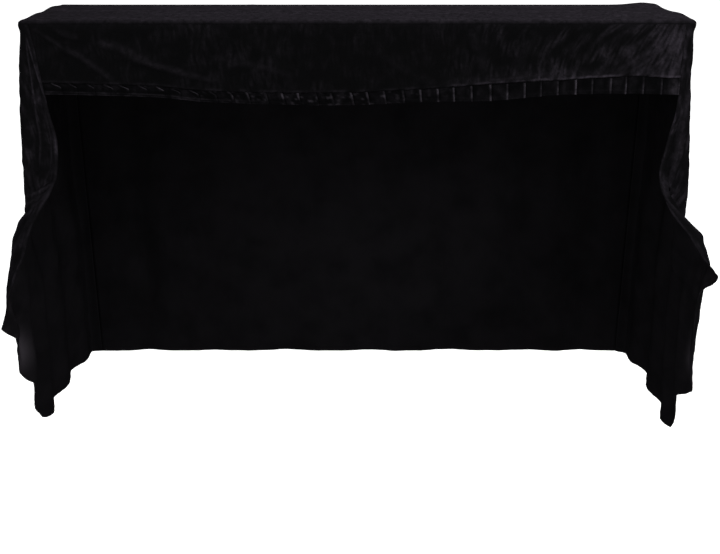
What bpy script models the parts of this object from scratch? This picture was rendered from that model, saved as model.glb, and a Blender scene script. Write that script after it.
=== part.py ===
"""A fitted velvet cover for an upright piano, hanging with its front open for playing.

Metres, +Z up. The origin is the middle of the top panel's underside, where the cover rests on
the piano. X runs along the keyboard, -Y is the front. Every sheet is drawn as its outer surface
and thickened inwards. A drop is a depth below the top panel's outer surface.
"""
from collections import namedtuple
from math import cos, exp, hypot, pi, sin

import bmesh
import bpy
from mathutils import Vector

CLOTH = 0.002
SEAM_GAP = 0.0003
TOP_WIDTH = 1.500
TOP_DEPTH = 0.340
EDGE_RADIUS = 0.004
RIM = 0.001               # straight margin that the top panel turns down to its seam
BACK_LAP = 0.010          # straight margin of a side panel on the back of the cover
FULL_DROP = 0.955
WALL_TOP = EDGE_RADIUS + RIM + SEAM_GAP

HALF_WIDTH = TOP_WIDTH / 2
HALF_DEPTH = TOP_DEPTH / 2

PLEATS = 37
PLEAT_DEPTH = 0.005
PLEAT_CREST = 0.84
PLEAT_MIDDLE = 0.42

# The hem starts to rise towards the front at this share of the way down the side panels
RISE_START = 0.30
RISE_POWER = 1.2
BACK_FLARE = 0.35
FOLD_FADE = 0.22
BULGE_SKEW = 6.75         # makes the bulge's highest point as high as its table says

# How far a side panel's front corner stands out from the top's width, and how softly it bends
Flare = namedtuple("Flare", "drop out bend")
LEFT_FLARE = (
    Flare(0.000, 0.000, 0.004),
    Flare(0.090, 0.015, 0.012),
    Flare(0.180, 0.026, 0.013),
    Flare(0.270, 0.033, 0.015),
    Flare(0.345, 0.036, 0.018),
    Flare(0.410, 0.039, 0.022),
    Flare(0.480, 0.040, 0.028),
    Flare(0.600, 0.027, 0.040),
    Flare(0.955, 0.034, 0.050),
)
RIGHT_FLARE = (
    Flare(0.000, 0.000, 0.004),
    Flare(0.090, 0.008, 0.012),
    Flare(0.180, 0.015, 0.013),
    Flare(0.270, 0.024, 0.015),
    Flare(0.345, 0.029, 0.018),
    Flare(0.410, 0.031, 0.022),
    Flare(0.600, 0.020, 0.040),
    Flare(0.955, 0.032, 0.050),
)

# A side panel's front edge: inside the top's width by inset, ahead of the front by forward. By
# bulge the cloth stands out between the front corner and that edge, as it lies over the keyboard's arm
Edge = namedtuple("Edge", "drop inset forward bulge")
LEFT_EDGE = (
    Edge(0.000, 0.0180, 0.000, 0.000),
    Edge(0.100, 0.0300, 0.000, 0.000),
    Edge(0.200, 0.0420, 0.000, 0.000),
    Edge(0.270, 0.0550, 0.002, 0.000),
    Edge(0.335, 0.0510, 0.006, 0.000),
    Edge(0.360, 0.0460, 0.018, 0.006),
    Edge(0.382, 0.0410, 0.048, 0.017),
    Edge(0.401, 0.0340, 0.090, 0.028),
    Edge(0.421, 0.0280, 0.140, 0.036),
    Edge(0.442, 0.0250, 0.190, 0.041),
    Edge(0.490, 0.0140, 0.228, 0.039),
    Edge(0.550, -0.0130, 0.246, 0.027),
    Edge(0.620, -0.0340, 0.251, 0.002),
    Edge(0.640, -0.0420, 0.252, 0.000),
)
RIGHT_EDGE = (
    Edge(0.000, 0.0180, 0.000, 0.000),
    Edge(0.100, 0.0190, 0.000, 0.000),
    Edge(0.200, 0.0200, 0.000, 0.000),
    Edge(0.270, 0.0330, 0.002, 0.000),
    Edge(0.335, 0.0450, 0.006, 0.000),
    Edge(0.368, 0.0450, 0.018, 0.004),
    Edge(0.389, 0.0440, 0.050, 0.016),
    Edge(0.405, 0.0410, 0.095, 0.026),
    Edge(0.418, 0.0350, 0.150, 0.036),
    Edge(0.434, 0.0230, 0.208, 0.040),
    Edge(0.470, 0.0010, 0.248, 0.034),
    Edge(0.496, -0.0210, 0.261, 0.010),
    Edge(0.510, -0.0330, 0.264, 0.000),
)

# Hem of a side panel. Stations: -1 to 0 the lap on the back, to 1 the back corner, to 2 the side,
# to 3 the front corner, to 4 the part that reaches forward
Hem = namedtuple("Hem", "station drop")
LEFT_HEM = (
    Hem(-1.0, 0.955),
    Hem(1.00, 0.955),
    Hem(1.50, 0.948),
    Hem(2.00, 0.955),
    Hem(2.60, 0.968),
    Hem(2.92, 0.968),
    Hem(3.10, 0.922),
    Hem(3.25, 0.858),
    Hem(3.45, 0.814),
    Hem(3.59, 0.764),
    Hem(3.69, 0.708),
    Hem(3.80, 0.679),
    Hem(4.00, 0.640),
)
RIGHT_HEM = (
    Hem(-1.0, 0.955),
    Hem(1.00, 0.960),
    Hem(1.50, 0.950),
    Hem(2.00, 0.970),
    Hem(2.60, 0.990),
    Hem(2.92, 0.996),
    Hem(3.04, 0.972),
    Hem(3.14, 0.918),
    Hem(3.25, 0.880),
    Hem(3.42, 0.852),
    Hem(3.56, 0.808),
    Hem(3.66, 0.650),
    Hem(3.74, 0.552),
    Hem(3.88, 0.530),
    Hem(4.00, 0.514),
)

# Upright folds of a side panel, each a soft wave at its own distance ahead of the middle
Fold = namedtuple("Fold", "ahead out width start")
LEFT_FOLDS = (
    Fold(0.374, -0.016, 0.020, 0.50),
    Fold(0.325, 0.008, 0.026, 0.50),
    Fold(0.280, -0.012, 0.020, 0.50),
    Fold(0.232, 0.020, 0.028, 0.50),
    Fold(0.180, -0.010, 0.026, 0.46),
    Fold(0.130, 0.012, 0.034, 0.20),
    Fold(0.060, -0.008, 0.034, 0.30),
    Fold(-0.020, 0.012, 0.040, 0.24),
    Fold(-0.100, -0.006, 0.034, 0.30),
)
RIGHT_FOLDS = (
    Fold(0.364, -0.016, 0.024, 0.42),
    Fold(0.322, 0.016, 0.024, 0.65),
    Fold(0.274, -0.012, 0.018, 0.50),
    Fold(0.225, 0.014, 0.026, 0.50),
    Fold(0.178, -0.010, 0.024, 0.46),
    Fold(0.130, 0.010, 0.034, 0.24),
    Fold(0.065, -0.008, 0.034, 0.30),
    Fold(-0.010, 0.012, 0.042, 0.20),
    Fold(-0.095, -0.006, 0.034, 0.30),
)

# The front valance's seam with the frill, and the frill's free edge below it
Line = namedtuple("Line", "x seam edge")
FRONT_LINES = (
    Line(-0.720, 0.136, 0.165),
    Line(-0.490, 0.143, 0.171),
    Line(-0.360, 0.154, 0.182),
    Line(-0.060, 0.158, 0.189),
    Line(0.170, 0.148, 0.181),
    Line(0.320, 0.137, 0.178),
    Line(0.460, 0.130, 0.166),
    Line(0.640, 0.121, 0.163),
    Line(0.735, 0.125, 0.165),
)

# Slanting and upright folds of the front valance, from one end to the other
Crease = namedtuple("Crease", "x1 drop1 x2 drop2 out width")
FRONT_CREASES = (
    Crease(-0.725, 0.020, -0.600, 0.130, 0.0060, 0.014),
    Crease(-0.690, 0.030, -0.330, 0.150, 0.0065, 0.018),
    Crease(-0.560, 0.075, -0.440, 0.130, -0.0035, 0.020),
    Crease(-0.250, 0.030, -0.140, 0.155, 0.0045, 0.022),
    Crease(0.020, 0.025, -0.050, 0.155, -0.0035, 0.022),
    Crease(0.250, 0.020, 0.290, 0.135, 0.0045, 0.018),
    Crease(0.400, 0.025, 0.350, 0.130, 0.0040, 0.018),
    Crease(0.690, 0.030, 0.520, 0.120, 0.0060, 0.018),
    Crease(0.720, 0.040, 0.640, 0.125, 0.0055, 0.014),
)
CREASE_FADE = 0.030
END_FADE = 0.050

# Low upright folds of the plain back panel
BACK_FOLDS = (
    Fold(-0.600, 0.010, 0.045, 0.10),
    Fold(-0.420, 0.007, 0.050, 0.22),
    Fold(-0.210, 0.011, 0.055, 0.16),
    Fold(0.030, 0.008, 0.050, 0.25),
    Fold(0.260, 0.012, 0.060, 0.14),
    Fold(0.470, 0.008, 0.050, 0.20),
    Fold(0.630, 0.009, 0.040, 0.12),
)

# Wrinkles that stand up from the top panel: middle, half lengths and height
Wrinkle = namedtuple("Wrinkle", "x y long wide height")
TOP_WRINKLES = (
    Wrinkle(0.712, 0.140, 0.040, 0.045, 0.006),
    Wrinkle(0.738, -0.080, 0.035, 0.060, 0.007),
    Wrinkle(-0.738, -0.075, 0.035, 0.042, 0.006),
    Wrinkle(-0.738, 0.075, 0.035, 0.050, 0.006),
    Wrinkle(-0.250, 0.020, 0.260, 0.045, 0.003),
    Wrinkle(0.330, -0.030, 0.220, 0.050, 0.003),
)

Side = namedtuple("Side", "sign flare edge hem folds")
LEFT = Side(-1, LEFT_FLARE, LEFT_EDGE, LEFT_HEM, LEFT_FOLDS)
RIGHT = Side(1, RIGHT_FLARE, RIGHT_EDGE, RIGHT_HEM, RIGHT_FOLDS)


def mix(a, b, share):
    return a + (b - a) * share


def ramp(value):
    """0 below 0, 1 above 1 and a soft step between."""
    value = min(max(value, 0.0), 1.0)
    return value * value * (3 - 2 * value)


def bump(value):
    return exp(-value * value)


def read(table, at, column):
    """A column of a table at a value of its first column, on a smooth curve through the rows."""
    keys = [row[0] for row in table]
    values = [getattr(row, column) for row in table]
    if at <= keys[0]:
        return values[0]
    if at >= keys[-1]:
        return values[-1]
    low = max(k for k in range(len(keys) - 1) if keys[k] <= at)
    slopes = []
    for k in (low, low + 1):
        before, after = max(k - 1, 0), min(k + 1, len(keys) - 1)
        slopes.append((values[after] - values[before]) / (keys[after] - keys[before]))
    span = keys[low + 1] - keys[low]
    f = (at - keys[low]) / span
    start = values[low] * (1 + 2 * f) * (1 - f) ** 2 + slopes[0] * span * f * (1 - f) ** 2
    end = values[low + 1] * f * f * (3 - 2 * f) - slopes[1] * span * f * f * (1 - f)
    return start + end


def stations(*stretches):
    """Values from the first stretch's start to the last one's end: (start, end, steps) each."""
    values = [stretches[0][0]]
    for start, end, steps in stretches:
        values += [mix(start, end, k / steps) for k in range(1, steps + 1)]
    return values


def velvet(name, colour, roughness):
    material = bpy.data.materials.new(name)
    material.use_nodes = True
    shader = material.node_tree.nodes["Principled BSDF"]
    shader.inputs["Base Color"].default_value = colour
    shader.inputs["Roughness"].default_value = roughness
    shader.inputs["Metallic"].default_value = 0.0
    material.diffuse_color = colour
    return material


def sheet(name, collection, across, down, place, colour, roughness=0.85):
    """A sheet of cloth whose corner (i, j) lies at place(across[i], down[j])."""
    mesh = bpy.data.meshes.new(name)
    cells = bmesh.new()
    bmesh.ops.create_grid(cells, x_segments=len(across) - 1, y_segments=len(down) - 1, size=0.5)
    for vertex in cells.verts:
        column = round((vertex.co.x + 0.5) * (len(across) - 1))
        row = round((0.5 - vertex.co.y) * (len(down) - 1))
        vertex.co = place(across[column], down[row])
    cells.to_mesh(mesh)
    cells.free()
    panel = bpy.data.objects.new(name, mesh)
    collection.objects.link(panel)
    mesh.materials.append(velvet(name + "_velvet", colour, roughness))
    mesh.shade_smooth()
    thicken = panel.modifiers.new("Cloth thickness", "SOLIDIFY")
    thicken.thickness = CLOTH
    thicken.offset = -1
    thicken.use_even_offset = True
    return panel


def round_corner(start, corner, end, share):
    """A point on the arc that leaves start and reaches end, bending at the corner."""
    weight = cos(pi / 4)
    a, b, c = (1 - share) ** 2, 2 * weight * share * (1 - share), share ** 2
    return (start * a + corner * b + end * c) / (a + b + c)


def fold_wave(folds, ahead, drop):
    """How far the upright folds push the cloth out, at a place and a depth."""
    total = 0.0
    for fold in folds:
        total += fold.out * bump((ahead - fold.ahead) / fold.width) * ramp((drop - fold.start) / FOLD_FADE)
    return total


def top_point(across, along):
    """The top panel: past 1 either way a point goes round the edge, and past 2 down the rim."""
    flat_x = HALF_WIDTH - EDGE_RADIUS
    flat_y = HALF_DEPTH - EDGE_RADIUS
    x = flat_x * min(max(across, -1), 1)
    y = flat_y * min(max(along, -1), 1)
    over_x = max(abs(across) - 1, 0) * (1 if across > 0 else -1)
    over_y = max(abs(along) - 1, 0) * (1 if along > 0 else -1)
    over = max(abs(over_x), abs(over_y))
    turn = min(over, 1) * pi / 2
    length = hypot(over_x, over_y) or 1
    reach = EDGE_RADIUS * sin(turn) / length
    z = CLOTH - EDGE_RADIUS * (1 - cos(turn)) - RIM * max(over - 1, 0)
    for wrinkle in TOP_WRINKLES:
        height = wrinkle.height * bump((x - wrinkle.x) / wrinkle.long) * bump((y - wrinkle.y) / wrinkle.wide)
        z += height * cos(turn)
    return Vector((x + over_x * reach, y + over_y * reach, z))


def side_drop(side, station, fall):
    """Depth of a side panel's point: level rows above, fanned out to the rising hem below."""
    rise = FULL_DROP - read(side.hem, station, "drop")
    lifted = max(fall - RISE_START, 0) / (1 - RISE_START)
    return mix(WALL_TOP, FULL_DROP, fall) - rise * lifted ** RISE_POWER


def side_point(side, station, fall):
    """A side panel: from the back corner, along the side, round the front corner and forward."""
    drop = side_drop(side, station, fall)
    corner_drop = side_drop(side, 2.5, fall)
    edge_drop = side_drop(side, 4, fall)
    out = read(side.flare, corner_drop, "out")
    bend = read(side.flare, corner_drop, "bend")
    side_x = HALF_WIDTH + out * BACK_FLARE
    back_seam = Vector((HALF_WIDTH - EDGE_RADIUS - BACK_LAP, HALF_DEPTH, 0))
    back_bend = Vector((HALF_WIDTH - EDGE_RADIUS, HALF_DEPTH, 0))
    back_corner = Vector((side_x, HALF_DEPTH, 0))
    back = Vector((side_x, HALF_DEPTH - EDGE_RADIUS, 0))
    corner = Vector((HALF_WIDTH + out, -HALF_DEPTH, 0))
    inset = read(side.edge, edge_drop, "inset")
    forward = read(side.edge, edge_drop, "forward")
    edge = Vector((HALF_WIDTH - inset, -HALF_DEPTH - forward, 0))
    bend = min(bend, (edge - corner).length * 0.8)
    bend_start = corner + (back - corner).normalized() * bend
    bend_end = corner + (edge - corner).normalized() * bend
    if station < 0:
        point = back_seam.lerp(back_bend, station + 1)
    elif station < 1:
        point = round_corner(back_bend, back_corner, back, station)
    elif station < 2:
        point = back.lerp(bend_start, station - 1)
    elif station < 3:
        point = round_corner(bend_start, corner, bend_end, station - 2)
    else:
        point = bend_end.lerp(edge, station - 3)
        point.x += read(side.edge, edge_drop, "bulge") * BULGE_SKEW * (station - 3) ** 2 * (4 - station)
    x = point.x + fold_wave(side.folds, -point.y, drop) * ramp(station)
    return Vector((side.sign * x, point.y, CLOTH - drop))


def crease_height(x, drop):
    """How far the front valance's folds stand out, or sink in, at a place."""
    total = 0.0
    for crease in FRONT_CREASES:
        run, fall = crease.x2 - crease.x1, crease.drop2 - crease.drop1
        length = hypot(run, fall)
        along = ((x - crease.x1) * run + (drop - crease.drop1) * fall) / length
        aside = ((x - crease.x1) * fall - (drop - crease.drop1) * run) / length
        ends = ramp(along / CREASE_FADE + 0.5) * ramp((length - along) / CREASE_FADE + 0.5)
        total += crease.out * bump(aside / crease.width) * ends
    return total


def front_place(share, drop):
    """A place on the front: share 0 at the left side panel's edge and 1 at the right one's."""
    left = -HALF_WIDTH + read(LEFT_EDGE, drop, "inset") + SEAM_GAP
    right = HALF_WIDTH - read(RIGHT_EDGE, drop, "inset") - SEAM_GAP
    return mix(left, right, share)


def valance_point(share, fall):
    seam = read(FRONT_LINES, mix(-HALF_WIDTH, HALF_WIDTH, share), "seam")
    drop = mix(WALL_TOP, seam, fall)
    x = front_place(share, drop)
    from_ends = ramp(min(share, 1 - share) * TOP_WIDTH / END_FADE)
    out = crease_height(x, drop) * from_ends * ramp((drop - WALL_TOP) / CREASE_FADE)
    return Vector((x, -HALF_DEPTH - out, CLOTH - drop))


def frill_point(pleat, fall):
    """The frill: pleat counts the knife pleats from the left, each a slope and a short return."""
    share = pleat / PLEATS
    x_guess = mix(-HALF_WIDTH, HALF_WIDTH, share)
    seam = read(FRONT_LINES, x_guess, "seam") + SEAM_GAP
    drop = mix(seam, read(FRONT_LINES, x_guess, "edge"), fall)
    x = front_place(share, drop)
    within = pleat - int(pleat)
    slope = within / PLEAT_CREST if within <= PLEAT_CREST else (1 - within) / (1 - PLEAT_CREST)
    at_seam = valance_point(share, 1)
    hang = PLEAT_DEPTH * slope * mix(0.25, 1.0, fall)
    return Vector((x, at_seam.y - hang, CLOTH - drop))


def back_point(share, fall):
    end = HALF_WIDTH - EDGE_RADIUS - BACK_LAP - SEAM_GAP
    x = mix(end, -end, share)
    drop = mix(WALL_TOP, FULL_DROP, fall)
    from_ends = ramp(min(share, 1 - share) * TOP_WIDTH / END_FADE)
    out = fold_wave(BACK_FOLDS, x, drop) * from_ends
    return Vector((x, HALF_DEPTH + out, CLOTH - drop))


def build():
    for old in list(bpy.data.objects):
        bpy.data.objects.remove(old, do_unlink=True)
    cover = bpy.data.collections.new("Piano_cover")
    bpy.context.scene.collection.children.link(cover)

    sheet("top_panel", cover, stations((-3, -2, 1), (-2, -1, 3), (-1, 1, 16), (1, 2, 3), (2, 3, 1)),
          stations((3, 2, 1), (2, 1, 3), (1, -1, 8), (-1, -2, 3), (-2, -3, 1)),
          top_point, (0.075, 0.065, 0.085, 1))
    sheet("front_valance", cover, stations((0, 1, 72)), stations((0, 1, 7)),
          valance_point, (0.035, 0.032, 0.042, 1))
    pleat_steps = []
    for pleat in range(PLEATS):
        pleat_steps += [pleat, pleat + PLEAT_MIDDLE, pleat + PLEAT_CREST]
    sheet("pleated_frill", cover, pleat_steps + [PLEATS], stations((0, 1, 2)),
          frill_point, (0.045, 0.040, 0.052, 1))

    rows = stations((0, 0.36, 7), (0.36, 0.52, 5), (0.52, 1, 9))
    back_to_front = stations((-1, 0, 1), (0, 1, 3), (1, 2, 9), (2, 3, 3), (3, 4, 12))
    sheet("left_side", cover, back_to_front, rows,
          lambda station, fall: side_point(LEFT, station, fall), (0.040, 0.036, 0.048, 1))
    sheet("right_side", cover, back_to_front[::-1], rows,
          lambda station, fall: side_point(RIGHT, station, fall), (0.050, 0.045, 0.058, 1))
    sheet("back_panel", cover, stations((0, 1, 28)), stations((0, 1, 9)),
          back_point, (0.030, 0.027, 0.036, 1))


build()
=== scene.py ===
"""The looks of the velvet piano cover: fine creased sheets of pile velvet in place of the solids.

Metres, in the part's own frame: the origin is the middle of the top panel's underside, X runs
along the keyboard and -Y is the front. A drop is a depth below the top panel's outer surface.
Each sheet is a grid of points on its solid's folds, with its creases raised along the cloth's
normals. Each sheet's lightness runs from 0 for pile that lies dark to 1 at its lightest, and holds
both the crushed pile's mottling and painted highlights on crests, edges and seams. The side panels
also have a shine, a painted highlight where their reverse catches the light.
"""
from collections import namedtuple
from math import cos, pi, radians

import bpy
import numpy as np
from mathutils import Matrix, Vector


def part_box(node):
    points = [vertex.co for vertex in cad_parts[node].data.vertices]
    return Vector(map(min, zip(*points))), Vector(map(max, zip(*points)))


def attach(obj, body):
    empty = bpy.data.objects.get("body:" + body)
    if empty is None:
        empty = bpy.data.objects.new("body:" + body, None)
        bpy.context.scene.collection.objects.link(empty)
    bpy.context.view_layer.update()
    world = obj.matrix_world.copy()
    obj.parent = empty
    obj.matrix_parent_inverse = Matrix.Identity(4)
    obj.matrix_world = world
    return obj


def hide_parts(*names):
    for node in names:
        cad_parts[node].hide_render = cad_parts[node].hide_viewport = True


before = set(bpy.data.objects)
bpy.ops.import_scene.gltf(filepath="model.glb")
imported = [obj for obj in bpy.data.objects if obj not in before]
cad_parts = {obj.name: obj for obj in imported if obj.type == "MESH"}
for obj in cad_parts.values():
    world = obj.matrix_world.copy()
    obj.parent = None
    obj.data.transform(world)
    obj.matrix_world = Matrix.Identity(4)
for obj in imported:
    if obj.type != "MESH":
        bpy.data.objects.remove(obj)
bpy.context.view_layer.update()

# Sizes of the cover, as in the part
CLOTH = 0.002
SEAM_GAP = 0.0003
HALF_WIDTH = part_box("top_panel")[1].x
HALF_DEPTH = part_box("top_panel")[1].y
TOP_WIDTH = 2 * HALF_WIDTH
FULL_DROP = 0.955
EDGE_RADIUS = 0.008
RIM = 0.001
BACK_LAP = 0.010
WALL_TOP = EDGE_RADIUS + RIM + SEAM_GAP

# How the side panels widen and their folds open on the way down
RISE_START = 0.30
RISE_POWER = 1.2
BACK_FLARE = 0.35
FOLD_FADE = 0.22
BULGE_SKEW = 6.75

# How far a side panel stands out at its front corner, and how round it bends there
Flare = namedtuple("Flare", "drop out bend")
LEFT_FLARE = (
    Flare(0.000, 0.000, 0.008),
    Flare(0.090, 0.015, 0.012),
    Flare(0.180, 0.026, 0.013),
    Flare(0.270, 0.033, 0.015),
    Flare(0.345, 0.036, 0.018),
    Flare(0.410, 0.039, 0.022),
    Flare(0.480, 0.040, 0.028),
    Flare(0.600, 0.027, 0.040),
    Flare(0.955, 0.034, 0.050),
)
RIGHT_FLARE = (
    Flare(0.000, 0.000, 0.008),
    Flare(0.090, 0.008, 0.012),
    Flare(0.180, 0.015, 0.013),
    Flare(0.270, 0.024, 0.015),
    Flare(0.345, 0.029, 0.018),
    Flare(0.410, 0.031, 0.022),
    Flare(0.600, 0.020, 0.040),
    Flare(0.955, 0.032, 0.050),
)

# A side panel's front edge: how far inside the end and ahead of the front, and the swell behind it
Edge = namedtuple("Edge", "drop inset forward bulge")
LEFT_EDGE = (
    Edge(0.000, 0.0180, 0.000, 0.000),
    Edge(0.100, 0.0300, 0.000, 0.000),
    Edge(0.200, 0.0420, 0.000, 0.000),
    Edge(0.270, 0.0550, 0.002, 0.000),
    Edge(0.335, 0.0510, 0.006, 0.000),
    Edge(0.360, 0.0460, 0.018, 0.006),
    Edge(0.382, 0.0410, 0.048, 0.024),
    Edge(0.401, 0.0340, 0.090, 0.028),
    Edge(0.421, 0.0280, 0.140, 0.033),
    Edge(0.442, 0.0250, 0.190, 0.037),
    Edge(0.490, 0.0140, 0.228, 0.036),
    Edge(0.550, -0.0130, 0.246, 0.027),
    Edge(0.620, -0.0340, 0.251, 0.002),
    Edge(0.640, -0.0420, 0.252, 0.000),
)
RIGHT_EDGE = (
    Edge(0.000, 0.0180, 0.000, 0.000),
    Edge(0.100, 0.0190, 0.000, 0.000),
    Edge(0.200, 0.0200, 0.000, 0.000),
    Edge(0.270, 0.0330, 0.002, 0.000),
    Edge(0.335, 0.0450, 0.006, 0.000),
    Edge(0.368, 0.0450, 0.018, 0.004),
    Edge(0.389, 0.0440, 0.050, 0.016),
    Edge(0.405, 0.0410, 0.095, 0.025),
    Edge(0.418, 0.0350, 0.150, 0.031),
    Edge(0.434, 0.0230, 0.208, 0.037),
    Edge(0.470, 0.0010, 0.248, 0.035),
    Edge(0.496, -0.0210, 0.261, 0.010),
    Edge(0.510, -0.0330, 0.264, 0.000),
)

# A side panel's hem. Stations run from its seam on the back, -1, past the back corner, 0 to 1, and
# the front corner, 2 to 3, to its front edge, 4
Hem = namedtuple("Hem", "station drop")
LEFT_HEM = (
    Hem(-1.0, 0.955),
    Hem(1.00, 0.955),
    Hem(1.50, 0.948),
    Hem(2.00, 0.955),
    Hem(2.60, 0.968),
    Hem(2.92, 0.968),
    Hem(3.10, 0.922),
    Hem(3.25, 0.858),
    Hem(3.45, 0.814),
    Hem(3.59, 0.764),
    Hem(3.69, 0.708),
    Hem(3.80, 0.679),
    Hem(4.00, 0.640),
)
RIGHT_HEM = (
    Hem(-1.0, 0.955),
    Hem(1.00, 0.960),
    Hem(1.50, 0.950),
    Hem(2.00, 0.970),
    Hem(2.60, 0.990),
    Hem(2.92, 0.996),
    Hem(3.04, 0.972),
    Hem(3.14, 0.918),
    Hem(3.25, 0.880),
    Hem(3.42, 0.852),
    Hem(3.56, 0.808),
    Hem(3.64, 0.660),
    Hem(3.69, 0.582),
    Hem(3.75, 0.560),
    Hem(3.86, 0.541),
    Hem(3.95, 0.526),
    Hem(4.00, 0.514),
)

# Upright folds: the place ahead of the middle, or along X on the back, and the drop where each starts
Fold = namedtuple("Fold", "ahead out width start")
LEFT_FOLDS = (
    Fold(0.374, -0.016, 0.020, 0.50),
    Fold(0.325, 0.008, 0.026, 0.50),
    Fold(0.280, -0.012, 0.020, 0.50),
    Fold(0.232, 0.020, 0.028, 0.50),
    Fold(0.180, -0.010, 0.026, 0.46),
    Fold(0.130, 0.012, 0.034, 0.20),
    Fold(0.060, -0.008, 0.034, 0.30),
    Fold(-0.020, 0.012, 0.040, 0.24),
    Fold(-0.100, -0.006, 0.034, 0.30),
)
RIGHT_FOLDS = (
    Fold(0.364, -0.016, 0.024, 0.42),
    Fold(0.322, 0.016, 0.024, 0.65),
    Fold(0.274, -0.012, 0.018, 0.50),
    Fold(0.225, 0.014, 0.026, 0.50),
    Fold(0.178, -0.010, 0.024, 0.46),
    Fold(0.130, 0.010, 0.034, 0.24),
    Fold(0.065, -0.008, 0.034, 0.30),
    Fold(-0.010, 0.012, 0.042, 0.20),
    Fold(-0.095, -0.006, 0.034, 0.30),
)

# Drops of the valance's lower seam and of the frill's lower edge, along X
Line = namedtuple("Line", "x seam edge")
FRONT_LINES = (
    Line(-0.720, 0.136, 0.165),
    Line(-0.490, 0.143, 0.171),
    Line(-0.360, 0.154, 0.182),
    Line(-0.060, 0.158, 0.189),
    Line(0.170, 0.148, 0.181),
    Line(0.320, 0.137, 0.178),
    Line(0.460, 0.130, 0.166),
    Line(0.640, 0.121, 0.163),
    Line(0.735, 0.125, 0.165),
)

BACK_FOLDS = (
    Fold(-0.600, 0.010, 0.045, 0.10),
    Fold(-0.420, 0.007, 0.050, 0.22),
    Fold(-0.210, 0.011, 0.055, 0.16),
    Fold(0.030, 0.008, 0.050, 0.25),
    Fold(0.260, 0.012, 0.060, 0.14),
    Fold(0.470, 0.008, 0.050, 0.20),
    Fold(0.630, 0.009, 0.040, 0.12),
)

# Low swells of the top
Wrinkle = namedtuple("Wrinkle", "x y long wide height")
TOP_WRINKLES = (
    Wrinkle(0.712, 0.140, 0.040, 0.045, 0.006),
    Wrinkle(0.738, -0.080, 0.035, 0.070, 0.005),
    Wrinkle(-0.738, -0.065, 0.035, 0.045, 0.003),
    Wrinkle(-0.738, 0.065, 0.035, 0.055, 0.005),
    Wrinkle(-0.250, 0.020, 0.260, 0.045, 0.003),
    Wrinkle(0.330, -0.030, 0.220, 0.050, 0.003),
)

# Creases of a sheet, from one end to the other in the sheet's own two directions. bow bends a
# crease sideways, out raises it, and light is how bright a painted highlight lies on its crest
Crease = namedtuple("Crease", "u1 v1 u2 v2 bow out width light")

# On the front valance u is the place along X and v the drop
FRONT_CREASES = (
    Crease(-0.724, 0.018, -0.640, 0.078, 0.002, 0.0040, 0.007, 0.18),
    Crease(-0.655, 0.060, -0.560, 0.130, 0.004, 0.0050, 0.010, 0.26),
    Crease(-0.672, 0.022, -0.626, 0.038, 0.000, 0.0025, 0.010, 0.20),
    Crease(-0.578, 0.050, -0.470, 0.090, 0.004, 0.0040, 0.014, 0.27),
    Crease(-0.520, 0.078, -0.320, 0.134, -0.003, 0.0050, 0.010, 0.26),
    Crease(-0.560, 0.085, -0.440, 0.135, 0.000, -0.0035, 0.018, 0.00),
    Crease(-0.250, 0.030, -0.140, 0.155, 0.006, 0.0045, 0.020, 0.08),
    Crease(-0.330, 0.085, -0.150, 0.122, 0.006, 0.0025, 0.012, 0.16),
    Crease(0.020, 0.025, -0.050, 0.155, 0.004, -0.0035, 0.022, 0.00),
    Crease(0.040, 0.060, 0.180, 0.142, -0.008, 0.0030, 0.016, 0.08),
    Crease(0.250, 0.020, 0.290, 0.135, 0.004, 0.0045, 0.016, 0.14),
    Crease(0.318, 0.008, 0.322, 0.060, 0.001, 0.0020, 0.005, 0.30),
    Crease(0.400, 0.025, 0.350, 0.130, -0.004, 0.0040, 0.016, 0.16),
    Crease(0.296, 0.132, 0.470, 0.110, -0.004, 0.0030, 0.007, 0.42),
    Crease(0.548, 0.060, 0.556, 0.092, 0.003, 0.0030, 0.010, 0.62),
    Crease(0.572, 0.064, 0.560, 0.088, -0.003, 0.0025, 0.006, 0.50),
    Crease(0.700, 0.020, 0.585, 0.112, 0.006, 0.0040, 0.009, 0.42),
    Crease(0.712, 0.030, 0.629, 0.106, 0.005, 0.0040, 0.007, 0.55),
    Crease(0.716, 0.040, 0.653, 0.119, 0.004, 0.0035, 0.006, 0.60),
    Crease(0.724, 0.020, 0.690, 0.112, 0.004, 0.0040, 0.006, 0.80),
    Crease(0.728, 0.010, 0.714, 0.100, 0.002, 0.0045, 0.007, 1.00),
)

# On a side panel u is the length of cloth back from the front edge and v the drop
LEFT_CREASES = (
    Crease(0.012, 0.040, 0.001, 0.182, 0.001, 0.0022, 0.003, 0.80),
    Crease(0.015, 0.048, 0.025, 0.170, 0.001, 0.0024, 0.003, 0.70),
    Crease(0.025, 0.170, 0.044, 0.330, 0.002, 0.0022, 0.004, 0.50),
    Crease(0.008, 0.200, 0.016, 0.330, 0.002, 0.0020, 0.004, 0.35),
    Crease(0.002, 0.366, 0.096, 0.404, -0.008, 0.0048, 0.006, 0.55),
    Crease(0.002, 0.377, 0.096, 0.417, -0.008, 0.0030, 0.004, 0.38),
    Crease(0.004, 0.384, 0.088, 0.446, -0.009, 0.0022, 0.006, 0.45),
    Crease(0.010, 0.388, 0.060, 0.506, -0.008, 0.0034, 0.008, 0.30),
    Crease(0.110, 0.316, 0.180, 0.456, 0.010, 0.0050, 0.012, 0.25),
    Crease(0.150, 0.346, 0.260, 0.546, 0.014, 0.0045, 0.014, 0.20),
)
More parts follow.
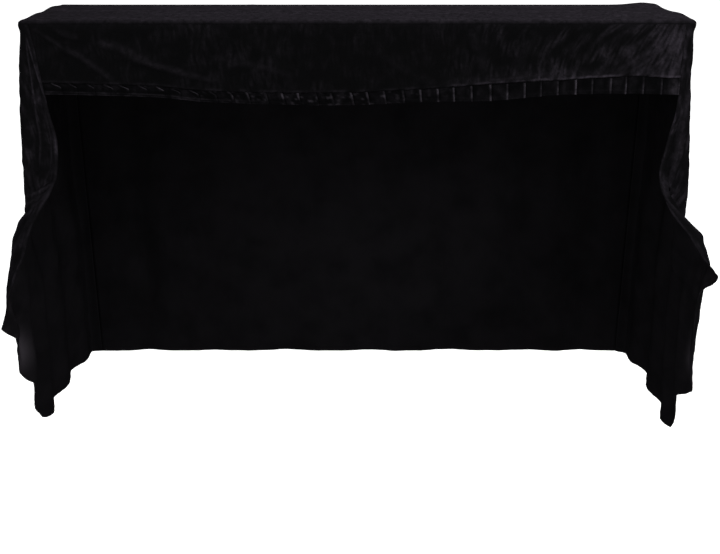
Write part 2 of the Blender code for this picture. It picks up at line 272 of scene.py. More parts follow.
RIGHT_CREASES = (
    Crease(0.008, 0.200, 0.030, 0.330, 0.003, 0.0030, 0.008, 0.40),
    Crease(0.020, 0.150, 0.045, 0.400, -0.004, 0.0025, 0.010, 0.45),
    Crease(0.004, 0.358, 0.075, 0.394, -0.005, 0.0040, 0.008, 0.45),
    Crease(0.006, 0.400, 0.085, 0.458, -0.008, 0.0050, 0.007, 0.45),
    Crease(0.040, 0.407, 0.150, 0.542, 0.012, 0.0055, 0.011, 0.35),
    Crease(0.100, 0.322, 0.170, 0.462, 0.010, 0.0050, 0.012, 0.25),
    Crease(0.140, 0.362, 0.240, 0.582, 0.014, 0.0045, 0.014, 0.20),
)

# Where the front top corners bulge, and the place from which the right end's crushed pile and painted
# highlight rays fan out
Corner = namedtuple("Corner", "out wide deep drop tall")
CORNER = Corner(0.0055, 0.018, 0.045, 0.009, 0.012)
Fan = namedtuple("Fan", "x above reach")
FAN = Fan(0.752, 0.075, 0.30)

# Where a side panel's reverse catches the light, on the folds by its hem
Shine = namedtuple("Shine", "ahead drop wide tall amount")
LEFT_SHINE = Shine(0.318, 0.738, 0.024, 0.044, 1.0)
RIGHT_SHINE = Shine(0.318, 0.750, 0.016, 0.045, 0.7)

Side = namedtuple("Side", "name sign flare edge hem folds creases shine crush seed")
LEFT = Side(
    "left", -1, LEFT_FLARE, LEFT_EDGE, LEFT_HEM, LEFT_FOLDS, LEFT_CREASES, LEFT_SHINE, 0.26, 11
)
RIGHT = Side(
    "right", 1, RIGHT_FLARE, RIGHT_EDGE, RIGHT_HEM, RIGHT_FOLDS, RIGHT_CREASES, RIGHT_SHINE, 0.40, 23
)

# The knife pleats of the frill. One pleat's section: how far along the pleat and how far out, in
# metres, and how bright a painted highlight lies there, on the fold edge
PLEATS = 37
PLEAT_PITCH = 0.0395
FRILL_CLOTH = 0.0007
SEAM_LAP = 0.003
Bend = namedtuple("Bend", "along out light")
PLEAT_SECTION = (
    Bend(-0.0095, 0.0006, 0.00),
    Bend(-0.0050, 0.0008, 0.00),
    Bend(0.0000, 0.0010, 0.02),
    Bend(0.0060, 0.0014, 0.05),
    Bend(0.0120, 0.0019, 0.07),
    Bend(0.0180, 0.0026, 0.06),
    Bend(0.0240, 0.0033, 0.03),
    Bend(0.0300, 0.0040, 0.02),
    Bend(0.0345, 0.0046, 0.06),
    Bend(0.0366, 0.0049, 0.75),
    Bend(0.0384, 0.0050, 1.00),
    Bend(0.0396, 0.0045, 0.70),
    Bend(0.0398, 0.0037, 0.00),
    Bend(0.0390, 0.0031, 0.00),
    Bend(0.0350, 0.0026, 0.00),
    Bend(0.0315, 0.0021, 0.00),
    Bend(0.0302, 0.0015, 0.00),
)

HEM_WIDTH = 0.012

# How light the pile is painted: the top's painted sheen at its two ends, where it is crushed, and
# painted highlights on fold crests and along the side panels' edges. The last is how light the painted
# highlight patches of the reverse are
TOP_PAINTED_SHEEN_LEFT = 0.31
TOP_PAINTED_SHEEN_RIGHT = 0.43
TOP_CRUSH = 0.20
FRILL_CRUSH = 0.08
BACK_CRUSH = 0.26
BACK_CREST_HIGHLIGHT = 0.18
SIDE_NAP = 0.03
SIDE_CREST_HIGHLIGHT = 0.12
EDGE_HIGHLIGHT = 0.26
REVERSE_PATCHES = 0.16

# Colours of the pile where it stands dark and at its lightest, for crushed pile and painted highlights, and
# of its sheen
Pile = namedtuple("Pile", "name deep light")
BODY_PILE = Pile("black_velvet", (0.0014, 0.0014, 0.0015), (0.024, 0.0206, 0.0264))
FRILL_PILE = Pile("frill_velvet", (0.0010, 0.0010, 0.0011), (0.033, 0.0290, 0.0355))
SHEEN = 0.002
SHEEN_TINT = (0.90, 0.84, 1.0)

# Colours of the reverse: its weave from dark to light, and where it catches the light
WEAVE_DARK = (0.0011, 0.0011, 0.0012)
WEAVE_LIGHT = (0.0028, 0.0026, 0.0030)
WEAVE_SHINE = (0.016, 0.0142, 0.0168)

# The studio: the floor below the cover, the lamps, and the camera at the photograph's angle
FLOOR_LEVEL = -1.213
FLOOR_REACH = 30.0
Lamp = namedtuple("Lamp", "name place aim size power")
LAMPS = (
    Lamp("Key", (2.6, -1.9, 1.6), (0.55, -0.15, -0.30), 1.2, 130),
    Lamp("Fill", (-2.8, -2.4, 1.0), (-0.6, -0.1, -0.40), 1.6, 55),
    Lamp("Overhead", (0.2, 0.6, 2.4), (0.1, 0.0, 0.0), 1.6, 45),
)
LENS = 52.67
SENSOR = 36.0
SHIFT_X = -0.00565
SHIFT_Y = 0.0472
CAMERA_PLACE = (0.0151, -2.5821, 0.2729)
CAMERA_TILT = 21.86

# Points each way in the lattice that the noise is made on
LATTICE = 97


def mix(a, b, share):
    return a + (b - a) * share


def ramp(value):
    """0 below 0, 1 above 1 and a soft step between."""
    value = np.clip(value, 0.0, 1.0)
    return value * value * (3 - 2 * value)


def bump(value):
    return np.exp(-np.square(value))


def read(table, at, column):
    """A column of a table at values of its first column, on a smooth curve through the rows."""
    keys = np.array([row[0] for row in table])
    values = np.array([getattr(row, column) for row in table])
    before = np.maximum(np.arange(len(keys)) - 1, 0)
    after = np.minimum(np.arange(len(keys)) + 1, len(keys) - 1)
    slopes = (values[after] - values[before]) / (keys[after] - keys[before])
    at = np.clip(at, keys[0], keys[-1])
    low = np.clip(np.searchsorted(keys, at, side="right") - 1, 0, len(keys) - 2)
    span = keys[low + 1] - keys[low]
    f = (at - keys[low]) / span
    start = values[low] * (1 + 2 * f) * (1 - f) ** 2 + slopes[low] * span * f * (1 - f) ** 2
    end = values[low + 1] * f * f * (3 - 2 * f) - slopes[low + 1] * span * f * f * (1 - f)
    return start + end


def noise(u, v, seed):
    """Smooth noise, about -1 to 1, with a swing or so for each unit of u and v."""
    angles = np.random.default_rng(seed).uniform(0, 2 * pi, (LATTICE, LATTICE))
    u, v = np.broadcast_arrays(u, v)
    left, low = np.floor(u).astype(int), np.floor(v).astype(int)
    total = 0.0
    for right in (0, 1):
        for up in (0, 1):
            angle = angles[(left + right) % LATTICE, (low + up) % LATTICE]
            du, dv = u - left - right, v - low - up
            weight = ramp(1 - np.abs(du)) * ramp(1 - np.abs(dv))
            total = total + weight * (np.cos(angle) * du + np.sin(angle) * dv)
    return 1.6 * total


def rough(u, v, seed, octaves=4):
    """Noise with finer and weaker noise on it."""
    total = 0.0
    for octave in range(octaves):
        turn = 0.7 * octave
        a = u * np.cos(turn) - v * np.sin(turn)
        b = u * np.sin(turn) + v * np.cos(turn)
        total = total + noise(a * 2 ** octave, b * 2 ** octave, seed + octave) / 1.7 ** octave
    return total


def grid(*places):
    """A grid of points from arrays of X, Y and Z."""
    return np.stack(np.broadcast_arrays(*places), axis=-1)


def normals(points):
    """The outward normal of the cloth at each point of its grid."""
    down = np.gradient(points, axis=0)
    along = np.gradient(points, axis=1)
    across = np.cross(down, along)
    return across / np.maximum(np.linalg.norm(across, axis=2, keepdims=True), 1e-12)


def raised(points, height):
    return points + normals(points) * height[..., None]


def puffed(points):
    """The front top corners, which bulge out a little where three panels meet."""
    x, y, z = np.moveaxis(points, -1, 0)
    near = bump((np.abs(x) - HALF_WIDTH) / CORNER.wide) * bump((y + HALF_DEPTH) / CORNER.deep)
    near = near * bump((z + CORNER.drop) / CORNER.tall)
    return points + grid(CORNER.out * np.sign(x) * near, -0.3 * CORNER.out * near, 0.1 * CORNER.out * near)


def reach(points, axis, backwards=False):
    """Length of cloth from one edge of a grid to each of its points."""
    if backwards:
        return np.flip(reach(np.flip(points, axis), axis), axis)
    steps = np.linalg.norm(np.diff(points, axis=axis), axis=2)
    lengths = np.cumsum(steps, axis=axis)
    start = np.zeros_like(np.take(lengths, [0], axis=axis))
    return np.concatenate([start, lengths], axis=axis)


def creased(creases, u, v, fade=0.030):
    """How far a table of creases raises the cloth, and the painted highlight on their crests."""
    height = np.zeros(np.broadcast(u, v).shape)
    light = np.zeros_like(height)
    for crease in creases:
        run, fall = crease.u2 - crease.u1, crease.v2 - crease.v1
        length = np.hypot(run, fall)
        along = ((u - crease.u1) * run + (v - crease.v1) * fall) / length
        aside = ((u - crease.u1) * fall - (v - crease.v1) * run) / length
        share = np.clip(along / length, 0, 1)
        aside = aside - 4 * crease.bow * share * (1 - share)
        fade_at = min(fade, length / 3)
        ends = ramp(along / fade_at + 0.5) * ramp((length - along) / fade_at + 0.5)
        ridge = bump(aside / crease.width) - 0.35 * bump((aside - 1.9 * crease.width) / crease.width)
        height += crease.out * ridge * ends
        light = np.maximum(light, crease.light * bump(aside / (0.75 * crease.width)) * ends)
    return height, light


def smudges(u, v, seed, wide=0.055, long=0.050):
    """Crushed pile, from 0 to 1: soft patches with upright brush strokes in them."""
    drift = 0.7 * noise(u / 0.11, v / 0.09, seed + 31)
    patches = 0.7 * noise(u / wide + drift, v / long, seed + 73)
    patches = patches + 0.5 * noise(u / 0.020, v / 0.026, seed + 91)
    strokes = rough(u / 0.0075 + 0.9 * noise(u / 0.04, v / 0.05, seed + 57), v / 0.040, seed, 2)
    return ramp(0.38 + patches) * np.clip(0.50 + 0.85 * strokes, 0, 1.2)


def crumple(u, v, seed):
    """Heights of a cloth's small soft dents, about 1 mm."""
    return 0.0011 * rough(u / 0.060, v / 0.075, seed) + 0.0005 * noise(u / 0.014, v / 0.024, seed + 9)


def hemmed(distance):
    """A turned hem by an edge: a little thicker to its stitch line, with a groove there."""
    flat = 0.0004 * ramp((HEM_WIDTH - distance) / 0.002)
    return flat - 0.0007 * bump((distance - HEM_WIDTH) / 0.0016)


def fold_wave(folds, ahead, drop, seed):
    """How far the upright folds push the cloth out. Each wanders a little on its way down."""
    total = 0.0
    for number, fold in enumerate(folds):
        wander = 0.005 * noise(drop / 0.22, number * 3.7, seed)
        lean = 0.15 * fold.out * np.sin(pi * (drop - fold.start))
        aside = (ahead - fold.ahead + wander + lean) / fold.width
        total = total + fold.out * bump(aside) * ramp((drop - fold.start) / FOLD_FADE)
    return total


def top_cloth():
    """The top panel: past 1 either way a point goes round the edge, and past 2 down the rim."""
    turned = np.linspace(2, 1, 7)[:-1]
    wide = np.concatenate([[-3], -turned, np.linspace(-1, 1, 300), turned[::-1], [3]])
    deep = np.concatenate([[3], turned, np.linspace(1, -1, 72), -turned[::-1], [-3]])
    across, along = np.meshgrid(wide, deep)
    x = (HALF_WIDTH - EDGE_RADIUS) * np.clip(across, -1, 1)
    y = (HALF_DEPTH - EDGE_RADIUS) * np.clip(along, -1, 1)
    over_x = np.maximum(np.abs(across) - 1, 0) * np.sign(across)
    over_y = np.maximum(np.abs(along) - 1, 0) * np.sign(along)
    over = np.maximum(np.abs(over_x), np.abs(over_y))
    turn = np.minimum(over, 1) * pi / 2
    length = np.hypot(over_x, over_y)
    round_edge = EDGE_RADIUS * np.sin(turn) / np.where(length > 0, length, 1)
    z = CLOTH - EDGE_RADIUS * (1 - np.cos(turn)) - RIM * np.maximum(over - 1, 0)
    for wrinkle in TOP_WRINKLES:
        far = bump((x - wrinkle.x) / wrinkle.long) * bump((y - wrinkle.y) / wrinkle.wide)
        z = z + wrinkle.height * far * np.cos(turn)
    points = grid(x + over_x * round_edge, y + over_y * round_edge, z)
    long_wrinkles = 0.0012 * noise(x / 0.24, y / 0.035 + 0.8 * noise(x / 0.2, y / 0.3, 5), 3)
    inside = ramp(np.minimum(HALF_WIDTH - np.abs(x), HALF_DEPTH - np.abs(y)) / 0.02 - 0.3)
    height = inside * (long_wrinkles + crumple(x, y, 41))
    # Painted sheen: the whole top is painted lighter, more so to the right, under its crushed pile
    # mottling; the turned edges are painted darker as they round down, a painted shade
    light = mix(TOP_PAINTED_SHEEN_LEFT, TOP_PAINTED_SHEEN_RIGHT, ramp((x + 0.85) / 0.60))
    light = light + TOP_CRUSH * smudges(y, x, 17, 0.030, 0.240)
    points = raised(points, height)
    points[..., 0] += 0.0030 * np.sign(over_x) * noise(y / 0.060, over_x, 13) * np.sin(turn)
    return puffed(points), {"nap": light * mix(0.20, 1.0, np.cos(turn))}


def front_place(share, drop):
    """A place on the front: share 0 at the left side panel's edge and 1 at the right one's."""
    left = -HALF_WIDTH + read(LEFT_EDGE, drop, "inset") + SEAM_GAP
    right = HALF_WIDTH - read(RIGHT_EDGE, drop, "inset") - SEAM_GAP
    return mix(left, right, share)


def valance_seam(share):
    return read(FRONT_LINES, mix(-HALF_WIDTH, HALF_WIDTH, share), "seam")


def valance_cloth(columns=620, rows=66):
    """The front valance, creased from its top corners and puckered where the frill is sewn on."""
    share, fall = np.meshgrid(np.linspace(0, 1, columns), np.linspace(0, 1, rows))
    seam = valance_seam(share)
    lap = SEAM_LAP * (1 + 0.35 * noise(share * TOP_WIDTH / 0.018, 0 * share, 21))
    drop = mix(WALL_TOP, seam + lap, fall)
    x = front_place(share, drop)
    ridges, light = creased(FRONT_CREASES, x, drop)
    right = ramp((x - 0.12) / 0.32)
    held = ramp(np.minimum(share, 1 - share) * TOP_WIDTH / 0.040) * ramp((drop - WALL_TOP) / 0.025)
    pucker = 0.0013 * np.sin(2 * pi * share * PLEATS + 1.5 * noise(x / 0.1, 0 * x, 8))
    pucker = pucker * bump((seam - drop) / 0.016)
    roll = mix(0.0018, 0.0034, right) * bump((seam - drop - 0.001) / 0.0055)
    height = held * (ridges + mix(0.7, 1.5, right) * crumple(x, drop, 61)) + pucker + roll * ramp(fall * 4)
    points = puffed(raised(grid(x, -HALF_DEPTH + 0 * x, CLOTH - drop), height))

    # Colour: crushed pile mottling, stronger to the right; painted highlights in rays near the right
    # corner, in a band above the seam on the right, along the seam roll and on crease crests; a little
    # lighter just under the top edge
    to_corner = FAN.x - x
    fanned = x + to_corner * bump(to_corner / FAN.reach) * drop / (drop + FAN.above)
    crush = smudges(fanned, drop, 71)
    highlight_rays = np.clip(0.4 + 1.0 * rough(fanned / 0.0055, drop / 0.09, 83, 2), 0, 1) ** 1.5
    broken = ramp(0.55 + 0.8 * noise(x / 0.030, drop / 0.028, 97))
    corner_highlight = bump((HALF_WIDTH - 0.030 - x) / 0.085) * ramp(drop / 0.02)
    amount = 0.07 + 0.09 * bump((x + 0.27) / 0.15) + 0.25 * right
    nap = 0.01 + amount * crush + corner_highlight * (0.02 + 0.45 * highlight_rays)
    above_seam = bump((seam - drop - 0.008) / 0.009)
    nap = nap + 0.05 * bump(drop / 0.016) + 0.30 * right * above_seam * (0.3 + 0.7 * crush)
    nap = nap + mix(0.16, 0.85, right) * bump((seam - drop) / 0.0026) * broken
    return points, {"nap": np.maximum(nap, light * mix(0.30, 1.0, 0.5 * (crush + broken)))}


def frill_cloth(rows=22):
    """The frill: knife pleats that hang from the valance's seam, pulled slantwise to the left."""
    chance = np.random.default_rng(5)
    along, out, light = [], [], []
    for pleat in range(PLEATS):
        stretch = chance.uniform(0.91, 1.09)
        thick = chance.uniform(0.80, 1.20)
        lit = chance.uniform(0.20, 0.90)
        for bend in PLEAT_SECTION:
            along.append(pleat + bend.along / PLEAT_PITCH * (stretch if bend.along > 0.02 else 1))
            out.append(bend.out * thick)
            light.append(bend.light * lit)
    along, out, light = np.array(along), np.array(out), np.array(light)
    share, fall = np.meshgrid(np.clip(along / PLEATS, 0, 1), np.linspace(0, 1, rows))
    crest = out[None, :] / max(bend.out for bend in PLEAT_SECTION)
    x_guess = mix(-HALF_WIDTH, HALF_WIDTH, share)
    seam = read(FRONT_LINES, x_guess, "seam") + SEAM_GAP
    edge = read(FRONT_LINES, x_guess, "edge")
    drop = mix(seam, edge, fall)
    to_left = ramp((-0.20 - x_guess) / 0.25)
    middle = bump((x_guess + 0.12) / 0.26)
    slant = -0.020 * crest * to_left * (1 - ramp(fall / 0.45)) - 0.008 * crest * middle * (1 - fall)
    x = front_place(share, drop) + slant * ramp(share * PLEATS)
    puff = 0.0024 * to_left * crest * bump((fall - 0.24) / 0.16)
    flattened = mix(0.60, mix(1.0, 0.30, to_left), ramp(fall / 0.5))
    at_seam = 0.0012 - HALF_DEPTH - 0.0006 * noise(x / 0.09, 0 * x, 19)
    leaves = ramp(fall / 0.22)
    swing = 0.0018 * noise(x / 0.16, fall * 1.2, 29) * fall
    crush = 0.0016 * (middle + 0.3) * noise(x / 0.012, fall * 2.4, 43) * bump((fall - 0.4) / 0.35)
    hem_roll = 0.0009 * bump((1 - fall) * 0.032 / 0.0025)
    hang = (out[None, :] * flattened + 0.0012) * leaves + puff + swing + crush + hem_roll
    points = grid(x, at_seam - hang, CLOTH - drop)
    # Painted highlights: on each pleat's fold edge, mostly near the top on the left, as specks in the
    # middle, at the right end and along the hem lines, all broken up at random; with crushed pile mottling
    upper = mix(1.0, bump((fall - 0.30) / 0.17), to_left) * mix(1.0, 1 - ramp((fall - 0.45) / 0.25), middle)
    highlight_breakup = mix(0.25, 1.0, ramp(0.6 + 1.1 * noise(x / 0.021, fall * 2.2, 67)))
    highlight_speckle = middle * np.clip(2.2 * noise(x / 0.008, fall * 3.6, 71) - 0.7, 0, 1)
    nap = mix(1.0, 1.4, to_left) * light[None, :] * upper * highlight_breakup
    nap = nap + FRILL_CRUSH * smudges(x, drop, 37)
    nap = nap + 0.40 * highlight_speckle + 0.42 * bump((x - 0.721) / 0.009) * ramp(fall / 0.4) * highlight_breakup
    hem_highlights = bump((1 - fall) / 0.06) + 0.8 * bump((fall - 0.80) / 0.05)
    return points, {"nap": nap + 0.26 * mix(0.15, 1.0, to_left) * hem_highlights * highlight_breakup}


def side_drop(side, station, fall):
    """Depth of a side panel's point: level rows above, fanned out to the rising hem below."""
    rise = FULL_DROP - read(side.hem, station, "drop")
    lifted = np.maximum(fall - RISE_START, 0) / (1 - RISE_START)
    return mix(WALL_TOP, FULL_DROP, fall) - rise * lifted ** RISE_POWER


def round_corner(start, corner, end, share):
    """A point on the arc that leaves start and reaches end, bending at the corner."""
    weight = cos(pi / 4)
    a, b, c = (1 - share) ** 2, 2 * weight * share * (1 - share), share ** 2
    return (start * a + corner * b + end * c) / (a + b + c)


def side_plan(side, station, fall):
    """The plan of a side panel at one station: how far out and how far back, at each fall."""
    corner_drop = side_drop(side, 2.5, fall)
    edge_drop = side_drop(side, 4.0, fall)
    out = read(side.flare, corner_drop, "out")
    bend = read(side.flare, corner_drop, "bend")
    flat = np.full_like(fall, 1.0)
    side_x = HALF_WIDTH + out * BACK_FLARE
    back_seam = np.stack([flat * (HALF_WIDTH - EDGE_RADIUS - BACK_LAP), flat * HALF_DEPTH])
    back_bend = np.stack([flat * (HALF_WIDTH - EDGE_RADIUS), flat * HALF_DEPTH])
    back_corner = np.stack([side_x, flat * HALF_DEPTH])
    back = np.stack([side_x, flat * (HALF_DEPTH - EDGE_RADIUS)])
    corner = np.stack([HALF_WIDTH + out, flat * -HALF_DEPTH])
    inset, forward = read(side.edge, edge_drop, "inset"), read(side.edge, edge_drop, "forward")
    edge = np.stack([HALF_WIDTH - inset, -HALF_DEPTH - forward])
    to_edge, to_back = edge - corner, back - corner
    length = np.hypot(*to_edge)
    bend = np.minimum(bend, length * 0.8)
    bend_start = corner + to_back / np.hypot(*to_back) * bend
    bend_end = corner + to_edge / length * bend
    if station < 0:
        return mix(back_seam, back_bend, station + 1)
    if station < 1:
        return round_corner(back_bend, back_corner, back, station)
    if station < 2:
        return mix(back, bend_start, station - 1)
    if station < 3:
        return round_corner(bend_start, corner, bend_end, station - 2)
    bulge = read(side.edge, edge_drop, "bulge") * BULGE_SKEW * (station - 3) ** 2 * (4 - station)
    return mix(bend_end, edge, station - 3) + np.stack([bulge, 0 * bulge])


def side_cloth(side, rows=232):
    """A side panel, from the lap on the back round to its front edge."""
    falls = np.linspace(0, 1, rows)
    stations = np.concatenate([
        np.linspace(-1, 0, 4), np.linspace(0, 1, 7)[1:], np.linspace(1, 2, 66)[1:],
        np.linspace(2, 3, 13)[1:], np.linspace(3, 4, 72)[1:],
    ])
    plans = np.stack([side_plan(side, station, falls) for station in stations], axis=-1)
    x, y = plans
    drop = np.stack([side_drop(side, station, falls) for station in stations], axis=-1)
    waves = fold_wave(side.folds, -y, drop, side.seed) * ramp(stations)
    points = grid(side.sign * (x + waves), y, CLOTH - drop)
    if side.sign > 0:
        points, drop, waves = points[:, ::-1], drop[:, ::-1], waves[:, ::-1]
    from_edge = reach(points, 1, backwards=side.sign < 0)
    from_back = reach(points, 1, backwards=side.sign > 0)
    from_hem = reach(points, 0, backwards=True)
    ridges, light = creased(side.creases, from_edge, drop)
    loose = ramp((drop - WALL_TOP) / 0.06) * ramp(from_back / 0.04)
    hang = 0.0016 * noise(from_edge / 0.035, drop / 0.30, side.seed + 3) * ramp((drop - 0.15) / 0.3)
    soft = loose * (1.4 * crumple(from_edge, drop, side.seed + 5) + hang)
    puckers = 0.0009 * noise(from_edge / 0.018, 0 * drop, side.seed + 7) * bump(from_hem / 0.022)
    at_seam = ramp(from_edge / 0.010 + ramp((drop - 0.17) / 0.03))
    height = at_seam * (ridges * ramp(from_edge / 0.008 + 0.4) + soft) + puckers
    height = height + hemmed(from_hem) + hemmed(from_edge) * ramp((drop - 0.17) / 0.02)
    # Crushed pile mottling, with painted highlights on the upright folds' crests, along the front edge and
    # on crease crests
    by_edge = smudges(from_edge, drop, side.seed + 13, 0.030, 0.060)
    by_back = smudges(from_back, drop, side.seed + 17, 0.050, 0.110)
    crush = mix(by_edge, 0.62 * by_back, ramp((from_edge - 0.07) / 0.09))
    crests = np.clip(waves / 0.012, 0, 1)
    nap = SIDE_NAP + side.crush * crush + EDGE_HIGHLIGHT * bump((from_edge - 0.004) / 0.003) * (0.3 + crush)
    nap = nap + SIDE_CREST_HIGHLIGHT * crests * (0.5 + 0.5 * crush)
    nap = np.maximum(nap, light * mix(0.4, 1.0, crush))
    points = puffed(raised(points, height))
    # The reverse's painted highlight: a spot on the folds by the hem and uneven patches towards the front
    ahead, spot = -points[..., 1], side.shine
    shine = spot.amount * bump((ahead - spot.ahead) / spot.wide) * bump((drop - spot.drop) / spot.tall)
    patches = ramp(0.3 + 0.9 * noise(ahead / 0.022, drop / 0.034, side.seed + 19))
    uneven = REVERSE_PATCHES * patches * ramp((ahead - 0.25) / 0.12)
    return points, {"nap": nap, "shine": np.maximum(shine, uneven)}


def back_cloth(columns=212, rows=134):
    """The plain back panel with its low upright folds."""
    share, fall = np.meshgrid(np.linspace(0, 1, columns), np.linspace(0, 1, rows))
    end = HALF_WIDTH - EDGE_RADIUS - BACK_LAP - SEAM_GAP
    x = mix(end, -end, share)
    drop = mix(WALL_TOP, FULL_DROP, fall)
    from_ends = ramp(np.minimum(share, 1 - share) * TOP_WIDTH / 0.050)
    out = fold_wave(BACK_FOLDS, x, drop, 47) * from_ends
    points = grid(x, HALF_DEPTH + out, CLOTH - drop)
    from_hem = reach(points, 0, backwards=True)
    loose = from_ends * ramp((drop - WALL_TOP) / 0.05)
    hang = 0.0018 * noise(x / 0.05, drop / 0.35, 51) * ramp((drop - 0.1) / 0.3)
    height = loose * (1.4 * crumple(x, drop, 53) + hang) + hemmed(from_hem)
    # Crushed pile mottling, with painted highlights on the upright folds' crests
    crush = smudges(x, drop, 59, 0.060, 0.090)
    crests = np.clip(out / 0.010, 0, 1)
    nap = BACK_CRUSH * crush + BACK_CREST_HIGHLIGHT * crests * (0.4 + 0.6 * crush)
    return raised(points, height), {"nap": nap}


def link(tree, source, target):
    tree.links.new(source, target)


def node(tree, kind, **settings):
    """A shader node. A setting named like an input socket sets that socket."""
    made = tree.nodes.new(kind)
    for name, value in settings.items():
        if name in made.inputs:
            made.inputs[name].default_value = value
        else:
            setattr(made, name, value)
    return made


def maths(tree, operation, a, b, clamp=False):
    made = node(tree, "ShaderNodeMath", operation=operation, use_clamp=clamp)
    for socket, value in zip(made.inputs, (a, b)):
        if isinstance(value, (int, float)):
            socket.default_value = value
        else:
            link(tree, value, socket)
    return made.outputs[0]


def blended(tree, share, a, b):
    """A colour from a to b by a share that comes from another node, as a itself may."""
    made = node(tree, "ShaderNodeMix", data_type="RGBA")
    colours = [socket for socket in made.inputs if socket.type == "RGBA"]
    for socket, colour in zip(colours, (a, b)):
        if isinstance(colour, tuple):
            socket.default_value = (*colour, 1)
        else:
            link(tree, colour, socket)
    link(tree, share, made.inputs["Factor"])
    return [socket for socket in made.outputs if socket.type == "RGBA"][0]


def plain_shader(name, roughness, specular):
    material = bpy.data.materials.new(name)
    material.use_nodes = True
    shader = material.node_tree.nodes["Principled BSDF"]
    shader.inputs["Roughness"].default_value = roughness
    shader.inputs["Specular IOR Level"].default_value = specular
    return material, material.node_tree, shader


def velvet(pile):
    """Pile velvet: near black where the pile stands, greyer where it is crushed and where highlights are
    painted.
    """
    material, tree, shader = plain_shader(pile.name, 0.85, 0.0)
    shader.inputs["Sheen Weight"].default_value = SHEEN
    shader.inputs["Sheen Roughness"].default_value = 0.32
    shader.inputs["Sheen Tint"].default_value = (*SHEEN_TINT, 1)
    place = node(tree, "ShaderNodeTexCoord").outputs["Object"]
    nap = node(tree, "ShaderNodeAttribute", attribute_name="nap").outputs["Fac"]
    mottle = node(tree, "ShaderNodeTexNoise", Scale=95.0, Detail=5.0, Roughness=0.62, Distortion=0.5)
    fibre = node(tree, "ShaderNodeTexNoise", Scale=1500.0, Detail=2.0, Roughness=0.6)
    for texture in (mottle, fibre):
        link(tree, place, texture.inputs["Vector"])
    patchy = maths(tree, "MULTIPLY_ADD", mottle.outputs["Fac"], 1.9)
    patchy.node.inputs[2].default_value = -0.35
    grain = maths(tree, "MULTIPLY_ADD", fibre.outputs["Fac"], 0.5)
    grain.node.inputs[2].default_value = 0.75
    # The share of the light colour: crushed pile and painted highlights, broken up by mottle and grain
    crush_and_highlight_share = maths(tree, "MULTIPLY", maths(tree, "MULTIPLY", nap, patchy), grain, clamp=True)
    link(tree, blended(tree, crush_and_highlight_share, pile.deep, pile.light), shader.inputs["Base Color"])
    crushed = node(tree, "ShaderNodeBump", Strength=0.55, Distance=0.0020)
    link(tree, mottle.outputs["Fac"], crushed.inputs["Height"])
    tufts = node(tree, "ShaderNodeBump", Strength=0.6, Distance=0.0004)
    link(tree, fibre.outputs["Fac"], tufts.inputs["Height"])
    link(tree, crushed.outputs["Normal"], tufts.inputs["Normal"])
    link(tree, tufts.outputs["Normal"], shader.inputs["Normal"])
    return material


def ground_cloth():
    """The velvet's reverse: a plain dark weave, lighter by its shine."""
    material, tree, shader = plain_shader("velvet_reverse", 0.95, 0.0)
    place = node(tree, "ShaderNodeTexCoord").outputs["Object"]
    patches = node(tree, "ShaderNodeTexNoise", Scale=14.0, Detail=4.0)
    weave = node(tree, "ShaderNodeTexNoise", Scale=1100.0, Detail=1.0)
    for texture in (patches, weave):
        link(tree, place, texture.inputs["Vector"])
    blend = maths(tree, "MULTIPLY", patches.outputs["Fac"], weave.outputs["Fac"])
    blend = maths(tree, "MULTIPLY", blend, 3.0, clamp=True)
    colour = blended(tree, blend, WEAVE_DARK, WEAVE_LIGHT)
    shine = node(tree, "ShaderNodeAttribute", attribute_name="shine").outputs["Fac"]
    link(tree, blended(tree, shine, colour, WEAVE_SHINE), shader.inputs["Base Color"])
    threads = node(tree, "ShaderNodeBump", Strength=0.5, Distance=0.0003)
    link(tree, weave.outputs["Fac"], threads.inputs["Height"])
    link(tree, threads.outputs["Normal"], shader.inputs["Normal"])
    return material


def sheet(name, cad_node, points, looks, materials, slot, flat, held, thickness=CLOTH):
    """A sheet of cloth from a grid of its outer points, in place of a solid of the part."""
    rows, columns = points.shape[:2]
    index = np.arange(rows * columns).reshape(rows, columns)
    corners = (index[:-1, :-1], index[1:, :-1], index[1:, 1:], index[:-1, 1:])
    faces = np.stack(corners, axis=-1).reshape(-1, 4)
    mesh = bpy.data.meshes.new(name)
    mesh.from_pydata(points.reshape(-1, 3).tolist(), [], faces.tolist())
    for look, values in looks.items():
        stored = mesh.attributes.new(look, "FLOAT", "POINT")
        stored.data.foreach_set("value", np.clip(values, 0, 1).astype(np.float32).ravel())
    mesh.shade_smooth()
    for material in materials:
        mesh.materials.append(material)
    piece = bpy.data.objects.new(name, mesh)
    bpy.context.scene.collection.objects.link(piece)
    thicken = piece.modifiers.new("Cloth thickness", "SOLIDIFY")
    thicken.thickness = thickness
    thicken.offset = -1
    thicken.material_offset = len(materials) - 1
    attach(piece, "root")
    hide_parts(cad_node)


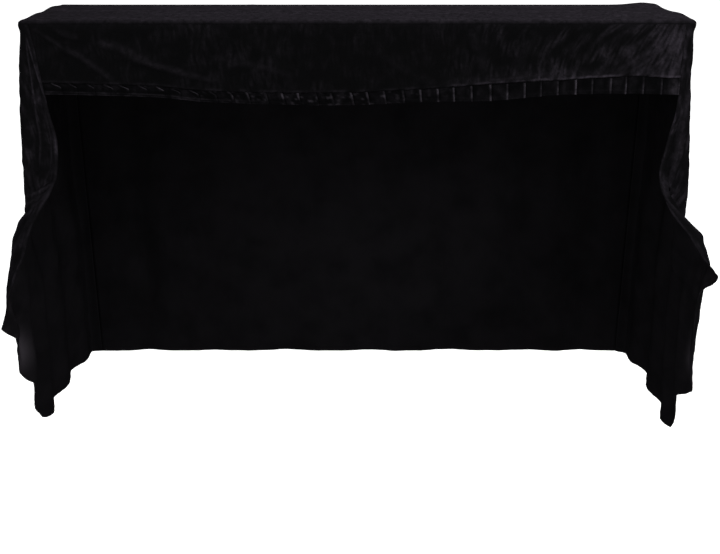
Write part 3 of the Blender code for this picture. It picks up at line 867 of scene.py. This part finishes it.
def studio():
    """A pale floor, soft lights and the camera at the photograph's angle."""
    scene = bpy.context.scene
    floor_mesh = bpy.data.meshes.new("Floor")
    corners = ((-1, -1), (1, -1), (1, 1), (-1, 1))
    places = [(x * FLOOR_REACH, y * FLOOR_REACH, FLOOR_LEVEL) for x, y in corners]
    floor_mesh.from_pydata(places, [], [(0, 1, 2, 3)])
    floor = bpy.data.objects.new("Floor", floor_mesh)
    scene.collection.objects.link(floor)
    material, _, shader = plain_shader("pale_floor", 0.9, 0.1)
    shader.inputs["Base Color"].default_value = (0.80, 0.80, 0.80, 1)
    shader.inputs["Emission Color"].default_value = (1, 1, 1, 1)
    shader.inputs["Emission Strength"].default_value = 0.45
    floor_mesh.materials.append(material)

    world = bpy.data.worlds.new("Soft studio")
    world.use_nodes = True
    world.node_tree.nodes["Background"].inputs["Color"].default_value = (1, 1, 1, 1)
    world.node_tree.nodes["Background"].inputs["Strength"].default_value = 0.95
    scene.world = world

    for lamp in LAMPS:
        data = bpy.data.lights.new(lamp.name, "AREA")
        data.size, data.energy = lamp.size, lamp.power
        light = bpy.data.objects.new(lamp.name, data)
        light.location = lamp.place
        light.rotation_euler = (Vector(lamp.aim) - Vector(lamp.place)).to_track_quat("-Z", "Y").to_euler()
        scene.collection.objects.link(light)

    view = bpy.data.cameras.new("Photo view")
    view.lens, view.sensor_width = LENS, SENSOR
    view.shift_x, view.shift_y = SHIFT_X, SHIFT_Y
    camera = bpy.data.objects.new("Photo view", view)
    camera.location = CAMERA_PLACE
    camera.rotation_euler = (radians(90 - CAMERA_TILT), 0, 0)
    scene.collection.objects.link(camera)
    scene.camera = camera
    scene.view_settings.view_transform = "Standard"


def dress():
    """Every panel of the cover."""
    reverse = ground_cloth()
    pile = velvet(BODY_PILE)
    frill_pile = velvet(FRILL_PILE)
    both = (pile, reverse)
    sheet("Velvet_top", "top_panel", *top_cloth(), both, "velvet", (1.52, 0.36), "stretched")
    sheet("Velvet_valance", "front_valance", *valance_cloth(), both, "velvet", (1.46, 0.16), "hung")
    sheet("Velvet_frill", "pleated_frill", *frill_cloth(), (frill_pile,), "frill_velvet",
          (2.18, 0.034), "gathered", thickness=FRILL_CLOTH)
    for side in (LEFT, RIGHT):
        sheet("Velvet_%s_side" % side.name, "%s_side" % side.name, *side_cloth(side), both, "velvet",
              (0.66, 0.98), "draped")
    sheet("Velvet_back", "back_panel", *back_cloth(), both, "velvet", (1.52, 0.97), "hung")


studio()
dress()
